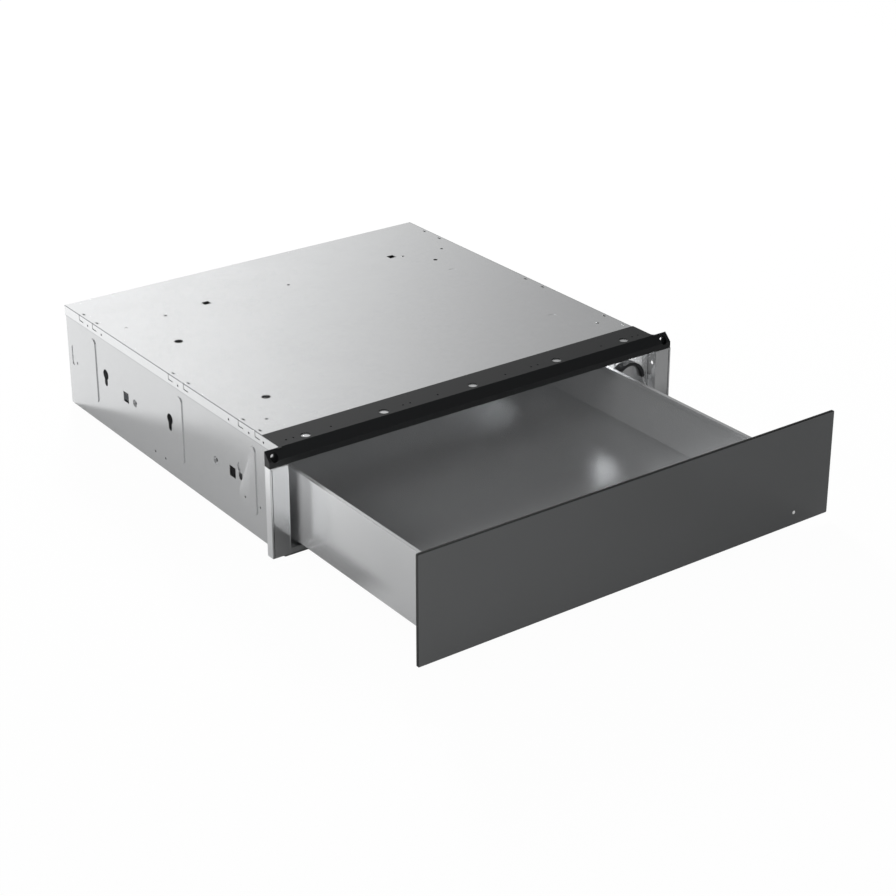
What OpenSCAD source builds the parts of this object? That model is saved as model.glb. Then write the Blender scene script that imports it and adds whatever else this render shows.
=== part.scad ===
// Built in warming drawer of the 60 cm class, shown with its drawer pulled open.
// Lengths are millimetres. X runs right seen from the front, Y into the cabinet, Z up.
// The origin is the middle of the casing's footprint, on the shelf it stands on.

/* [Casing] */
// Width across the side flanges of the top cover
casing_w = 552; // [544:1:558]
// Depth from the cabinet's front plane to the back
casing_d = 533; // [525:1:550]
// Height from the shelf to the top of the cover
casing_h = 139; // [138:1:150]
// Thickness of the galvanised sheet
casing_t = 0.8; // [0.7:0.1:1]
// Height of the cover's turned down edge
strip_h = 13.5; // [12:0.5:16]
// Height of the base tray's turned up edge
tray_lip = 15; // [12:1:22]

/* [Front frame] */
// How far the frame stands out on each side of the casing
ear_w = 21; // [19:1:24]
// How far the frame stands ahead of the cabinet
frame_d = 10.3; // [9.5:0.1:12]
// Height of the black rail's front
rail_h = 17.9; // [17:0.1:20]
// Thickness of the black rail
rail_t = 1.2; // [1:0.1:1.6]
// Depth of the rail's flange on the cover
rail_flange = 38.3; // [34:0.1:42]
// How far the column reaches into the casing
column_return = 15; // [12:1:20]
// Radius of the screw holes in the frame's ears
ear_hole_r = 2.3; // [2:0.1:2.6]
// How far the column's face stands ahead of the rail
column_proud = 0.8; // [0.5:0.1:0.9]
// Height of the crossbar's top above the shelf
crossbar_top = 14.3; // [13:0.1:15]
// Height of the crossbar's face
crossbar_h = 6; // [5:0.5:7]

/* [Drawer] */
// How far the drawer stands open
drawer_open = 278; // [270:1:290]
// Height of the glass front
panel_h = 132.5; // [128:0.5:134]
// Thickness of the glass front
panel_t = 4; // [3:0.5:6]
// Height of the glass front's lower edge above the shelf
panel_z = 7; // [5:0.5:8]
// Gap between the closed front and the frame
closed_gap = 3.2; // [3:0.1:4]
// Room between the drawer and the casing on the left
left_gap = 18; // [16:0.5:24]
// Room between the drawer and the casing on the right
right_gap = 57.5; // [55:0.5:62]
// Depth of the casing that the drawer box leaves free behind it
rear_room = 53; // [49:1:73]
// Height of the drawer's side walls
box_h = 90.5; // [86:0.5:96]
// Depth of the space inside the drawer
inside_h = 65.2; // [62:0.2:65.6]
// Thickness of the stainless sheet
box_t = 0.8; // [0.7:0.1:1]
// Width of the rolled rim
rim_w = 4; // [3.5:0.5:6]
// Radius of the glass front's corners
corner_r = 2; // [1:0.5:4]

/* [Slides] */
// Length of each slide member
slide_l = 450; // [430:1:455]
// Half the height of the drawer member
slide_half = 4.2; // [4:0.1:4.4]
// Radius of the bearing balls
ball_r = 0.8; // [0.7:0.1:0.9]
// Balls in each row of a cage
balls = 7; // [4:1:9]

/* [Heater] */
// Thickness of the heating mat
mat_t = 1.5; // [1:0.1:2]
// Thickness of the insulation
wool_t = 11.5; // [8:0.5:12]

/* [Controls] */
// Width of the control housing
control_w = 42; // [38:1:44]
// Depth of the control housing
control_d = 58; // [50:1:64]
// Radius of the temperature knob
knob_r = 13; // [10:0.5:14]
// Height of the temperature knob
knob_h = 10; // [8:0.5:12]
// Radius of the pilot light
pilot_r = 2.2; // [1.8:0.1:2.6]

/* [Back of the casing] */
// Radius of the mains cable's hole in the gland
gland_bore_r = 4; // [3:0.1:4.5]
// Travel of the push latch
latch_travel = 3; // [2:0.5:4]

/* [Hidden] */

$fn = 48;
// Cuts run this far past the faces they open
over = 1;
// Air between neighbouring solids that do not touch
gap = 0.3;
// Radial play of a turning or sliding fit
running = 0.08;

// Planes of the casing
front_w = casing_w + 2 * ear_w;
y_front = -casing_d / 2;
y_back = casing_d / 2;
side_out = casing_w / 2 - casing_t;
side_in = side_out - casing_t;
rear_in = y_back - 2 * casing_t;
sheet_lift = 1;
rear_flange = 28;
cover_setback = 0.9;
cover_lip = 11;
panel_back_y = y_front - frame_d - closed_gap;
box_y = panel_back_y - drawer_open;

// Planes of the drawer, whose own Y starts at the back of the glass
box_x0 = -casing_w / 2 + left_gap;
box_x1 = casing_w / 2 - right_gap;
box_mid = (box_x0 + box_x1) / 2;
plate_t = 1.2;
wall_y = plate_t;
box_d = casing_d - rear_room;
box_end = wall_y + box_d;
skirt_clearance = 1.4;
box_z = crossbar_top + skirt_clearance;
rim_z = box_z + box_h;
floor_z = rim_z - inside_h;

// Slide section, measured inwards from the drawer's skirt and up from its centre
slide_z = (box_z + floor_z - box_t) / 2 + 0.55 * casing_t;
race_gap = 2 * (ball_r + gap);
member_t = 1;
middle_half = slide_half + race_gap + member_t;
fixed_half = middle_half + race_gap + member_t;
cage_t = 0.6;
web_gap = cage_t + 2 * gap;
drawer_flange_u = 7;
middle_web_u = drawer_flange_u + web_gap;
fixed_web_u = middle_web_u + member_t + web_gap;
fixed_back_u = fixed_web_u + member_t;
bracket_t = 1.5;
bracket_back_u = fixed_back_u + bracket_t;
bracket_foot = 16;
slide_setback = 3;
slide_y0 = y_front + slide_setback;
cage_share = 0.42;
cage_l = slide_l * cage_share;
// Shares of the drawer's travel that the sliding pieces have made
outer_cage_share = 0.25;
middle_share = 0.5;
inner_cage_share = 0.75;

// Small fasteners
screw_r = 1.5;
screw_hole_r = screw_r + running;
screw_head_r = 3;
screw_head_h = 1.8;
screw_tail = 4;

steel = [0.80, 0.80, 0.80];
stainless = [0.66, 0.66, 0.66];
dark_steel = [0.55, 0.55, 0.55];
black = [0.13, 0.13, 0.13];
glass_grey = [0.30, 0.30, 0.31];

// Box from one corner to the opposite one
module slab(low, high) {
    translate(low) cube(high - low);
}

// Flat outline in Y and Z, made thick along X from x0
module yz_plate(x0, thick) {
    translate([x0, 0, 0]) rotate([90, 0, 90]) linear_extrude(thick) children();
}

// Flat outline in X and Z, made thick along Y from y0
module xz_plate(y0, thick) {
    translate([0, y0 + thick, 0]) rotate([90, 0, 0]) linear_extrude(thick) children();
}

module both_sides() {
    children();
    mirror([1, 0, 0]) children();
}

// Moves a drawer piece from its own Y to the open drawer
module in_drawer() {
    translate([0, box_y, 0]) children();
}

module rod_y(place, radius, length) {
    translate(place) rotate([-90, 0, 0]) cylinder(r = radius, h = length);
}

module rod_x(place, radius, length) {
    translate(place) rotate([0, 90, 0]) cylinder(r = radius, h = length);
}

// Pan head screw whose head sits on a face at Z = 0 and whose shank points down
module screw(length) {
    cylinder(r = screw_head_r, h = screw_head_h);
    translate([0, 0, -length]) cylinder(r = screw_r, h = length + screw_head_h / 2);
}

// Punched pattern of a side panel, as shares of the casing's depth and height
keyhole_r = 7;
keyhole_slot_r = 4;
keyhole_drop = 11.8;
keyhole_shares = [0.1735, 0.487, 0.801];
keyhole_z_share = 0.554;
punch_side = 13.6;
punch_shares = [0.208, 0.701];
punch_z_share = 0.464;
dish_r = 6;
dish_hole_r = 2.2;
dish_depth = 1.8;
dish_shares = [0.281, 0.657];
bead_half = 6.5;
bead_depth = 1.2;
bead_inset_top = 23;
bead_low = 27;
bead_shares = [0.12, 0.4387, 0.8606];
pin_hole_r = 1.5;
pin_shares = [[0.567, 0.122], [0.5186, 0.122], [0.157, 0.306], [0.094, 0.306], [0.0664, 0.457]];
rear_slot_inset = 14;
rear_slot_r = 3.4;
rear_slot_shares = [0.446, 0.597];
rear_pin_inset = 25;
edge_notch_shares = [0.345, 0.538, 0.822];
edge_notch_w = 7;
edge_notch_h = 1.4;
keyhole_z = casing_h * keyhole_z_share;
punch_z = casing_h * punch_z_share;

// Place of a punched feature behind the front plane
function along(share) = y_front + casing_d * share;

module capsule(z_low, z_high, radius) {
    translate([0, z_low]) circle(r = radius);
    translate([0, z_high]) circle(r = radius);
    translate([-radius, z_low]) square([2 * radius, z_high - z_low]);
}

module side_outline() {
    difference() {
        translate([y_front, sheet_lift])
            square([casing_d - casing_t, casing_h - casing_t - sheet_lift]);
        for (share = keyhole_shares) {
            translate([along(share), 0]) {
                translate([0, keyhole_z]) circle(r = keyhole_r);
                capsule(keyhole_z - keyhole_drop, keyhole_z, keyhole_slot_r);
            }
        }
        for (share = punch_shares) {
            translate([along(share), punch_z]) square(punch_side, center = true);
        }
        for (share = pin_shares) {
            translate([along(share[0]), casing_h * share[1]]) circle(r = pin_hole_r);
        }
        for (share = dish_shares) {
            translate([along(share), punch_z]) circle(r = dish_hole_r);
        }
        for (share = edge_notch_shares) {
            translate([along(share), 0]) square([edge_notch_w, sheet_lift + edge_notch_h]);
        }
        translate([y_back - rear_slot_inset, 0])
            capsule(casing_h * rear_slot_shares[0], casing_h * rear_slot_shares[1], rear_slot_r);
        translate([y_back - rear_pin_inset, punch_z]) circle(r = dish_hole_r);
    }
}

module bead_outline(grow) {
    for (share = bead_shares) {
        translate([along(share), 0])
            capsule(bead_low + bead_half, casing_h - bead_inset_top - bead_half, bead_half + grow);
    }
}

module side_panel() {
    difference() {
        union() {
            yz_plate(side_in, casing_t) side_outline();
            yz_plate(side_out, bead_depth) bead_outline(0);
            for (share = dish_shares) {
                rod_x([side_in - dish_depth, along(share), punch_z], dish_r, dish_depth);
            }
        }
        yz_plate(side_in - over, bead_depth + over) bead_outline(-casing_t);
        for (share = dish_shares) {
            rod_x([side_out - dish_depth, along(share), punch_z], dish_r - casing_t, dish_depth + over);
            rod_x([side_in - dish_depth - over, along(share), punch_z],
                  dish_hole_r, casing_t + dish_depth + 2 * over);
        }
    }
}

module left_side_panel() {
    color(steel) mirror([1, 0, 0]) side_panel();
}

module right_side_panel() {
    color(steel) side_panel();
}

// Screws that stand on the base tray, as shares of the slide's length and of half the casing
bracket_screw_shares = [0.0667, 0.5, 0.9333];
bracket_foot_mid = bracket_back_u + bracket_foot / 2;
crossbar_screw_shares = [-0.725, 0, 0.725];
crossbar_web = 6;
crossbar_foot = 12;

module tray_screw_places() {
    for (share = bracket_screw_shares) {
        translate([box_x0 + box_t + bracket_foot_mid, slide_y0 + slide_l * share, 0]) children();
        translate([box_x1 - box_t - bracket_foot_mid, slide_y0 + slide_l * share, 0]) children();
    }
}

module crossbar_screw_places() {
    for (share = crossbar_screw_shares) {
        translate([casing_w / 2 * share, y_front + crossbar_web + crossbar_foot / 2, 0]) children();
    }
}

module base_tray() {
    flange_x = side_in - casing_t;
    flange_y0 = y_front + column_return + gap;
    flange_y1 = rear_in - rear_flange - gap;
    color(steel) difference() {
        union() {
            slab([-side_in, y_front, 0], [side_in, rear_in, casing_t]);
            both_sides() slab([flange_x, flange_y0, 0], [side_in, flange_y1, tray_lip]);
            slab([-flange_x + gap, rear_in - casing_t, 0], [flange_x - gap, rear_in, tray_lip]);
        }
        tray_screw_places() translate([0, 0, -over]) cylinder(r = screw_hole_r, h = casing_t + 2 * over);
        crossbar_screw_places() translate([0, 0, -over]) cylinder(r = screw_hole_r, h = casing_t + 2 * over);
    }
}

// Mains entry and vents of the rear panel
terminal_inset = 62;
terminal_w = 50;
terminal_x = casing_w / 2 - terminal_inset;
gland_x = terminal_x + terminal_w / 2;
gland_z = 46;
gland_thread_r = 7;
gland_head_r = 9.5;
gland_out = 9;
gland_in = 6;
nut_r = 10.5;
nut_h = 4;
vent_w = 26;
vent_h = 3;
vent_count = 7;
vent_pitch = 42;
vent_row_count = 3;
vent_row_pitch = 12;
vent_drop = 31;
vent_inset = 66;

module rear_panel() {
    top = casing_h - casing_t;
    color(steel) difference() {
        union() {
            slab([-side_in, rear_in, sheet_lift], [side_in, rear_in + casing_t, top]);
            both_sides()
                slab([side_in - casing_t, rear_in - rear_flange, sheet_lift], [side_in, rear_in, top]);
        }
        rod_y([gland_x, rear_in - over, gland_z], gland_thread_r + running, casing_t + 2 * over);
        for (i = [0 : vent_count - 1]) {
            for (j = [0 : vent_row_count - 1]) {
                translate([vent_inset - casing_w / 2 + i * vent_pitch, rear_in - over,
                           casing_h - vent_drop - j * vent_row_pitch])
                    cube([vent_w, casing_t + 2 * over, vent_h]);
            }
        }
        for (side = [-1, 1]) {
            rod_y([box_mid + side * latch_screw_side, rear_in - over, latch_z],
                  screw_hole_r, casing_t + 2 * over);
        }
        for (z = terminal_screw_z) {
            rod_y([gland_x, rear_in - over, z], screw_hole_r, casing_t + 2 * over);
        }
    }
}

// Holes of the cover, as shares of half its width and of its depth
cover_hole_r = 2.1;
cover_hole_shares = [[-0.8986, 0.7792], [0.8986, 0.7792], [-0.8986, 0.1402], [0.8986, 0.1402],
                     [-0.6775, 0.7932], [0.6775, 0.7932], [0, 0.7932]];
cover_mid_r = 3;
cover_mid_shares = [[0.7808, 0.7223]];
cover_big_r = 5.5;
cover_big_shares = [[-0.7812, 0.6332], [-0.7826, 0.2402]];
cover_square = 10;
cover_square_shares = [[-0.442, 0.8077], [0.6264, 0.8077]];
dimple_depth = 0.3;
dimple_shares = [[0.7645, 0.6341], [0.7862, 0.2402]];
// Lanced tabs along the side edges
tab_shares = [0.0929, 0.1623, 0.4015, 0.4709, 0.8433, 0.9118];
tab_w = 11;
tab_h = 8;
tab_line = 1.2;
tab_mark_w = 2.4;
tab_mark_l = 6;
tab_mark_inset = 5.5;
strip_pin_shares = [0.0683, 0.1283, 0.2133, 0.4379, 0.8081, 0.8786];
strip_pin_drop = 7.8;

// Round holes or dimples of the cover, from a depth below its top
module cover_rounds(shares, radius, depth) {
    for (share = shares) {
        translate([casing_w / 2 * share[0], along(share[1]), casing_h - depth])
            cylinder(r = radius, h = depth + over);
    }
}

module cover_tab(y) {
    back = y + tab_w / 2;
    side = casing_w / 2 - casing_t - over;
    translate([side, back - tab_line, casing_h - tab_h]) cube([casing_t + 2 * over, tab_line, tab_h + over]);
    translate([side, back - tab_w, casing_h - tab_h]) cube([casing_t + 2 * over, tab_w, tab_line]);
    translate([casing_w / 2 - tab_mark_inset - tab_mark_w / 2, back - tab_mark_l, casing_h - casing_t - over])
        cube([tab_mark_w, tab_mark_l, casing_t + 2 * over]);
}

module top_cover() {
    front = y_front + cover_setback;
    color(steel) difference() {
        union() {
            slab([-casing_w / 2, front, casing_h - casing_t], [casing_w / 2, y_back, casing_h]);
            both_sides() slab([side_out, front, casing_h - strip_h], [casing_w / 2, y_back, casing_h]);
            slab([-casing_w / 2, y_back - casing_t, casing_h - strip_h], [casing_w / 2, y_back, casing_h]);
            slab([-side_in + column_return, front, casing_h - cover_lip],
                 [side_in - column_return, front + casing_t, casing_h]);
        }
        cover_rounds(cover_hole_shares, cover_hole_r, casing_t + over);
        cover_rounds(cover_mid_shares, cover_mid_r, casing_t + over);
        cover_rounds(cover_big_shares, cover_big_r, casing_t + over);
        cover_rounds(dimple_shares, cover_big_r, dimple_depth);
        for (share = cover_square_shares) {
            translate([casing_w / 2 * share[0], along(share[1]), casing_h])
                cube([cover_square, cover_square, 2 * (casing_t + over)], center = true);
        }
        for (share = tab_shares) {
            both_sides() cover_tab(along(share));
        }
        for (share = strip_pin_shares) {
            both_sides() rod_x([side_out - over, along(share), casing_h - strip_pin_drop],
                               pin_hole_r, casing_t + 2 * over);
        }
    }
}

// Rail holes, as shares of half the casing's width
rail_big_r = 6;
rail_big_shares = [0, 0.465, 0.855];
rail_big_y = 9.8;
rail_pin_r = 1.3;
rail_pin_shares = [0.1826, 0.3264, 0.3634, 0.7275, 0.9109, 0.9457];
rail_pin_y = 11.5;
ear_edge = 9;
ear_drop = 6.3;
ear_x = front_w / 2 - ear_edge;
ear_z = casing_h - ear_drop;
ear_back_t = 2;
ear_dish_r = 5.2;
ear_fillet = 5;

module rail_front_outline() {
    top = casing_h + rail_t;
    slope = frame_d;
    fold = rail_t * (sqrt(2) - 1);
    polygon([
        [y_front + rail_flange, top],
        [y_front, top],
        [y_front - slope, top - slope],
        [y_front - slope, top - rail_h],
        [y_front - slope + rail_t, top - rail_h],
        [y_front - slope + rail_t, top - slope - fold],
        [y_front + fold, casing_h],
        [y_front + rail_flange, casing_h]
    ]);
}

// Side view of an ear, with its sheet's inner face when inset by the sheet
module ear_outline(inset, back) {
    top = casing_h + rail_t;
    fold = inset * (sqrt(2) - 1);
    low = inset > 0 ? top - rail_h - over : top - rail_h;
    polygon([
        [y_front - back, top - back - fold - inset],
        [y_front - frame_d + inset, top - frame_d - fold],
        [y_front - frame_d + inset, low],
        [y_front - back, low]
    ]);
}

module ear() {
    top = casing_h + rail_t;
    difference() {
        union() {
            yz_plate(casing_w / 2, ear_w) ear_outline(0, 0);
            difference() {
                slab([casing_w / 2 - rail_t, y_front - ear_back_t, casing_h],
                     [casing_w / 2 + ear_fillet, y_front + ear_fillet, top]);
                translate([casing_w / 2 + ear_fillet, y_front + ear_fillet, casing_h - over])
                    cylinder(r = ear_fillet, h = rail_t + 2 * over);
            }
        }
        yz_plate(casing_w / 2 - over, ear_w + over - rail_t) ear_outline(rail_t, ear_back_t);
        rod_y([ear_x, y_front - frame_d - over, ear_z], ear_dish_r, frame_d + over - ear_back_t);
        rod_y([ear_x, y_front - frame_d, ear_z], ear_hole_r, frame_d + over);
    }
}

module air_deflector_rail() {
    color(black) union() {
        difference() {
            yz_plate(-casing_w / 2, casing_w) rail_front_outline();
            both_sides() {
                for (share = rail_big_shares) {
                    translate([casing_w / 2 * share, y_front + rail_big_y, casing_h - over])
                        cylinder(r = rail_big_r, h = rail_t + 2 * over);
                }
                for (share = rail_pin_shares) {
                    translate([casing_w / 2 * share, y_front + rail_pin_y, casing_h - over])
                        cylinder(r = rail_pin_r, h = rail_t + 2 * over);
                }
            }
        }
        both_sides() ear();
    }
}

// Hole in the column's return that daylight shows through
column_hole_r = 2.4;
column_hole_y = -3;
column_hole_drop = 34.6;
column_lift = 2;
column_lip = 6;
column_hem = 9;

module front_column() {
    top = casing_h + rail_t - rail_h - gap;
    low = panel_z + column_lift;
    face_y = y_front - frame_d - column_proud;
    inner = side_in - casing_t;
    back = y_front + column_return;
    difference() {
        union() {
            slab([inner, face_y, low], [front_w / 2, face_y + casing_t, top]);
            slab([inner, face_y, top - casing_t], [front_w / 2, face_y + column_lip, top]);
            slab([front_w / 2 - casing_t, face_y, low], [front_w / 2, y_front, top]);
            slab([inner, face_y, crossbar_top + gap], [side_in, back, top]);
            slab([inner - casing_t, back - column_hem, crossbar_top + gap], [inner, back, top]);
        }
        rod_x([inner - over, y_front + column_hole_y, casing_h - column_hole_drop],
              column_hole_r, casing_t + 2 * over);
    }
}

module left_front_column() {
    color(steel) mirror([1, 0, 0]) front_column();
}

module right_front_column() {
    color(steel) front_column();
}

module front_crossbar() {
    face_y = y_front - frame_d - column_proud + casing_t;
    low = crossbar_top - crossbar_h;
    half = side_in - casing_t - gap;
    wide = front_w / 2 - casing_t - gap;
    web_y = y_front + crossbar_web;
    color(steel) difference() {
        union() {
            slab([-wide, face_y, low], [wide, face_y + casing_t, crossbar_top]);
            slab([-half, face_y, low], [half, web_y, low + casing_t]);
            slab([-half, web_y - casing_t, casing_t], [half, web_y, low + casing_t]);
            slab([-half, web_y - casing_t, casing_t], [half, web_y + crossbar_foot, 2 * casing_t]);
        }
        crossbar_screw_places() cylinder(r = screw_hole_r, h = 2 * casing_t + over);
    }
}

module crossbar_screws() {
    color(dark_steel) crossbar_screw_places() translate([0, 0, 2 * casing_t]) screw(2 * casing_t);
}

// Places a slide piece on the left, from the skirt's inner face and the slide's centre
module on_left() {
    translate([box_x0 + box_t, 0, slide_z]) children();
}

module on_right() {
    translate([box_x1 - box_t, 0, slide_z]) mirror([1, 0, 0]) children();
}

// Channel with its web between web_u0 and web_u1 and its flanges reaching out to flange_u
module channel(web_u0, web_u1, flange_u, half, thick, y0, length) {
    low_u = min(web_u0, flange_u);
    high_u = max(web_u1, flange_u);
    slab([web_u0, y0, -half], [web_u1, y0 + length, half]);
    slab([low_u, y0, half - thick], [high_u, y0 + length, half]);
    slab([low_u, y0, -half], [high_u, y0 + length, -half + thick]);
}

slide_screw_shares = [0.0889, 0.5, 0.9111];
fixed_flange_u = 4;
middle_flange_u = 2;

module slide_screw_cuts(u0, length) {
    for (share = slide_screw_shares) {
        rod_x([u0 - over, slide_y0 + slide_l * share, 0], screw_hole_r, length + 2 * over);
    }
}

module fixed_slide() {
    difference() {
        channel(fixed_web_u, fixed_back_u, fixed_flange_u, fixed_half, member_t, slide_y0, slide_l);
        slide_screw_cuts(fixed_web_u, member_t);
    }
}

module middle_slide() {
    translate([0, -middle_share * drawer_open, 0])
        channel(middle_web_u, middle_web_u + member_t, middle_flange_u,
                middle_half, member_t, slide_y0, slide_l);
}

module drawer_slide() {
    translate([0, -drawer_open, 0])
        channel(0, member_t, drawer_flange_u, slide_half, member_t, slide_y0, slide_l);
}

module cage(share, web_u, arm_u, row_half, ball_u) {
    y0 = slide_y0 + (slide_l - cage_l) / 2 - share * drawer_open;
    pitch = cage_l / balls;
    channel(web_u, web_u + cage_t, arm_u, row_half + cage_t / 2, cage_t, y0, cage_l);
    for (i = [0 : balls - 1]) {
        for (side = [-1, 1]) {
            translate([ball_u, y0 + (i + 1 / 2) * pitch, side * row_half]) sphere(r = ball_r);
        }
    }
}

module outer_cage() {
    cage(outer_cage_share, middle_web_u + member_t + gap, fixed_flange_u + member_t,
         middle_half + race_gap / 2, fixed_flange_u + 2 * member_t);
}

module inner_cage() {
    cage(inner_cage_share, drawer_flange_u + gap, middle_flange_u + member_t,
         slide_half + race_gap / 2, middle_flange_u + 2 * member_t);
}

module left_fixed_slide() { color(steel) on_left() fixed_slide(); }
module right_fixed_slide() { color(steel) on_right() fixed_slide(); }
module left_middle_slide() { color(steel) on_left() middle_slide(); }
module right_middle_slide() { color(steel) on_right() middle_slide(); }
module left_drawer_slide() { color(steel) on_left() drawer_slide(); }
module right_drawer_slide() { color(steel) on_right() drawer_slide(); }
module left_outer_cage() { color(dark_steel) on_left() outer_cage(); }
module right_outer_cage() { color(dark_steel) on_right() outer_cage(); }
module left_inner_cage() { color(dark_steel) on_left() inner_cage(); }
module right_inner_cage() { color(dark_steel) on_right() inner_cage(); }

module slide_bracket() {
    low = casing_t - slide_z;
    difference() {
        union() {
            slab([fixed_back_u, slide_y0, low], [bracket_back_u, slide_y0 + slide_l, fixed_half]);
            slab([fixed_back_u, slide_y0 + crossbar_foot + crossbar_web, low],
                 [bracket_back_u + bracket_foot, slide_y0 + slide_l, low + bracket_t]);
        }
        slide_screw_cuts(fixed_back_u, bracket_t);
        for (share = bracket_screw_shares) {
            translate([bracket_foot_mid, slide_y0 + slide_l * share, low - over])
                cylinder(r = screw_hole_r, h = bracket_t + 2 * over);
        }
        slab([fixed_back_u - over, slide_y0 - over, low - over],
             [bracket_back_u + over, slide_y0 + crossbar_foot + crossbar_web, low + crossbar_top]);
    }
}

module left_slide_bracket() { color(steel) on_left() slide_bracket(); }
module right_slide_bracket() { color(steel) on_right() slide_bracket(); }

module bracket_screws() {
    color(dark_steel) tray_screw_places() translate([0, 0, casing_t + bracket_t]) screw(casing_t + bracket_t);
}

module one_slide_screws() {
    shank = member_t + bracket_t;
    for (share = slide_screw_shares) {
        translate([bracket_back_u, slide_y0 + slide_l * share, 0]) rotate([0, 90, 0]) screw(shank);
    }
}

module slide_screws() {
    color(dark_steel) {
        on_left() one_slide_screws();
        on_right() one_slide_screws();
    }
}

// Front of the drawer
pilot_inset = 23;
pilot_lift = 16.3;
pilot_x = box_x1 + pilot_inset;
pilot_z = panel_z + pilot_lift;
plate_inset = 28;
plate_room = 2;
plate_low = box_z + plate_room;
plate_top = casing_h + rail_t - rail_h - 2 * plate_room;
plate_fold = 8;
front_screw_shares = [-0.673, -0.168, 0.168, 0.673];
box_half = (box_x1 - box_x0) / 2;
front_screw_z = floor_z + inside_h / 2;

// Upright sheet with round corners, in X and Z
module rounded_sheet(wide, low, high, radius) {
    side = wide / 2 - radius;
    translate([-side, low]) square([2 * side, high - low]);
    translate([-wide / 2, low + radius]) square([wide, high - low - 2 * radius]);
    for (x = [-side, side]) {
        for (z = [low + radius, high - radius]) {
            translate([x, z]) circle(r = radius);
        }
    }
}

module glass_front() {
    color(glass_grey) in_drawer() difference() {
        xz_plate(-panel_t, panel_t) rounded_sheet(front_w, panel_z, panel_z + panel_h, corner_r);
        rod_y([pilot_x, -panel_t - over, pilot_z], pilot_r + gap, panel_t + 2 * over);
    }
}

module front_screw_cuts(y0, length) {
    for (share = front_screw_shares) {
        rod_y([box_mid + box_half * share, y0 - over, front_screw_z], screw_hole_r, length + 2 * over);
    }
}

module front_backing_plate() {
    half = front_w / 2 - plate_inset;
    color(steel) in_drawer() difference() {
        union() {
            slab([-half, 0, plate_low], [half, plate_t, plate_top]);
            slab([-half, 0, plate_top - plate_t], [half, plate_fold, plate_top]);
            both_sides() slab([half - plate_t, 0, plate_low], [half, plate_fold, plate_top]);
        }
        rod_y([pilot_x, -over, pilot_z], pilot_r + gap, plate_t + 2 * over);
        front_screw_cuts(0, plate_t);
    }
}

module front_screws() {
    color(dark_steel) in_drawer() for (share = front_screw_shares) {
        translate([box_mid + box_half * share, wall_y + box_t, front_screw_z])
            rotate([-90, 0, 0]) screw(plate_t + box_t);
    }
}

// Walls of the drawer box, with the rim turned inwards and down over a hemmed edge
rim_lip = 4;
hem_out = 0.8;
hem_h = 3;

module end_wall(y0, inwards, low) {
    y_flange = inwards > 0 ? y0 : y0 + box_t - rim_w;
    y_lip = inwards > 0 ? y0 + rim_w - box_t : y_flange;
    x0 = box_x0 + box_t;
    x1 = box_x1 - box_t;
    slab([x0, y0, low], [x1, y0 + box_t, rim_z]);
    slab([x0, y_flange, rim_z - box_t], [x1, y_flange + rim_w, rim_z]);
    slab([x0 + rim_w - box_t, y_lip, rim_z - rim_lip], [x1 - rim_w + box_t, y_lip + box_t, rim_z]);
}

module drawer_front_wall() {
    color(stainless) in_drawer() difference() {
        end_wall(wall_y, 1, box_z);
        front_screw_cuts(wall_y, box_t);
    }
}

module drawer_back_wall() {
    color(stainless) in_drawer() end_wall(box_end - box_t, -1, floor_z - box_t);
}

// Side wall with its outer face at X = 0, its rim towards +X
module side_wall() {
    slab([0, wall_y, box_z], [box_t, box_end, rim_z]);
    slab([-hem_out, wall_y, rim_z - hem_h], [box_t, box_end, rim_z]);
    slab([0, wall_y + rim_w, rim_z - box_t], [rim_w, box_end - rim_w, rim_z]);
    slab([rim_w - box_t, wall_y + rim_w, rim_z - rim_lip], [rim_w, box_end - rim_w, rim_z]);
}

module drawer_left_wall() {
    color(stainless) in_drawer() translate([box_x0, 0, 0]) side_wall();
}

module drawer_right_wall() {
    color(stainless) in_drawer() translate([box_x1, 0, 0]) mirror([1, 0, 0]) side_wall();
}

module drawer_floor() {
    color(stainless) in_drawer()
        slab([box_x0 + box_t, wall_y + box_t, floor_z - box_t], [box_x1 - box_t, box_end - box_t, floor_z]);
}

// Heater under the floor
heater_margin = 4;
heater_inset = 18;
heater_x0 = box_x0 + box_t + bracket_back_u + heater_margin;
heater_x1 = box_x1 - box_t - bracket_back_u - heater_margin;
heater_y0 = wall_y + heater_inset;
heater_y1 = box_end - heater_inset;
cover_t = 0.8;
cutout_r = 8;
cutout_h = 6;
mat_z = floor_z - box_t - mat_t;

module heating_mat() {
    color([0.75, 0.30, 0.18]) in_drawer()
        slab([heater_x0 + cover_t, heater_y0 + cover_t, mat_z],
             [heater_x1 - cover_t, heater_y1 - cover_t, mat_z + mat_t]);
}

module insulation_pad() {
    pocket_r = sensor_r + gap;
    color([0.85, 0.83, 0.72]) in_drawer() difference() {
        slab([heater_x0 + cover_t, heater_y0 + cover_t, mat_z - wool_t],
             [heater_x1 - cover_t, heater_y1 - cover_t, mat_z]);
        translate([box_mid, (heater_y0 + heater_y1) / 2, mat_z - cutout_h - gap])
            cylinder(r = cutout_r + gap, h = cutout_h + gap + over);
        translate([sensor_x - pocket_r,
                   (heater_y0 + heater_y1 - sensor_l) / 2 - gap,
                   mat_z - sensor_r - pocket_r])
            cube([2 * pocket_r, sensor_l + 2 * gap, sensor_r + pocket_r + over]);
    }
}

module heater_cover() {
    low = mat_z - wool_t - cover_t;
    color(steel) in_drawer() difference() {
        slab([heater_x0, heater_y0, low], [heater_x1, heater_y1, floor_z - box_t]);
        slab([heater_x0 + cover_t, heater_y0 + cover_t, low + cover_t],
             [heater_x1 - cover_t, heater_y1 - cover_t, floor_z]);
    }
}

module thermal_cutout() {
    color(black) in_drawer() translate([box_mid, (heater_y0 + heater_y1) / 2, mat_z - cutout_h])
        cylinder(r = cutout_r, h = cutout_h);
}

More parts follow.
